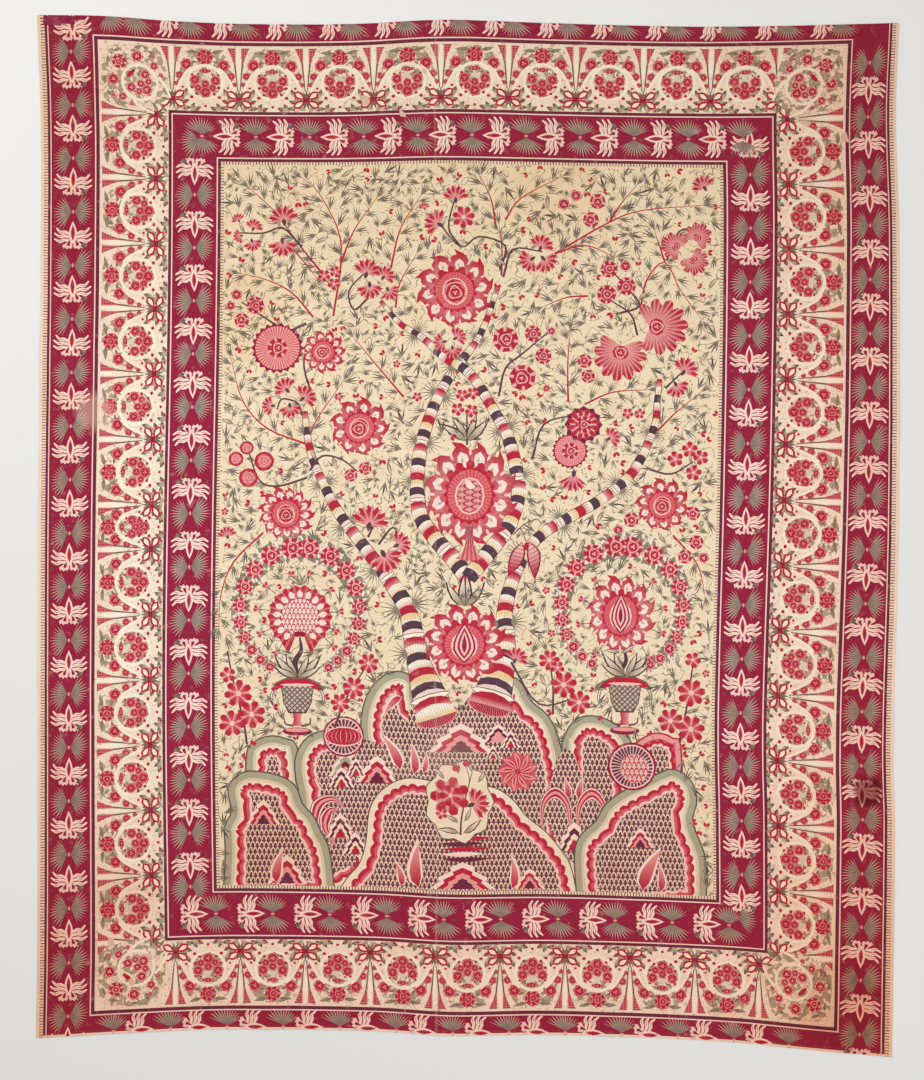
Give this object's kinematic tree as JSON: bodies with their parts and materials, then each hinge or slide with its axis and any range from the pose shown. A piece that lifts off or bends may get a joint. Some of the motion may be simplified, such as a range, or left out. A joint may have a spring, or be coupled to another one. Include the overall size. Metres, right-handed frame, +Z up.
{
  "type": "kalamkari panel",
  "caption": "Large painted and dyed cotton panel lying flat, with flowering tree field and figured borders, gently uneven edges and a small corner patch.",
  "frame": {"origin": "under the middle of the cloth's outline, on the surface it lies on", "axes": "+Z up out of the dyed face, +Y towards the top of the design, +X to the right as the design is seen"},
  "size_m": [2.4352, 2.938, 0.0075],
  "materials": {
    "dyed_cotton": "matt plain-woven cotton, painted and dyed",
    "patch_cotton": "matt plain-woven cotton, dyed dark red"
  },
  "bodies": {
    "root": {"panel": "dyed_cotton", "corner_patch": "patch_cotton"}
  },
  "joints": []
}
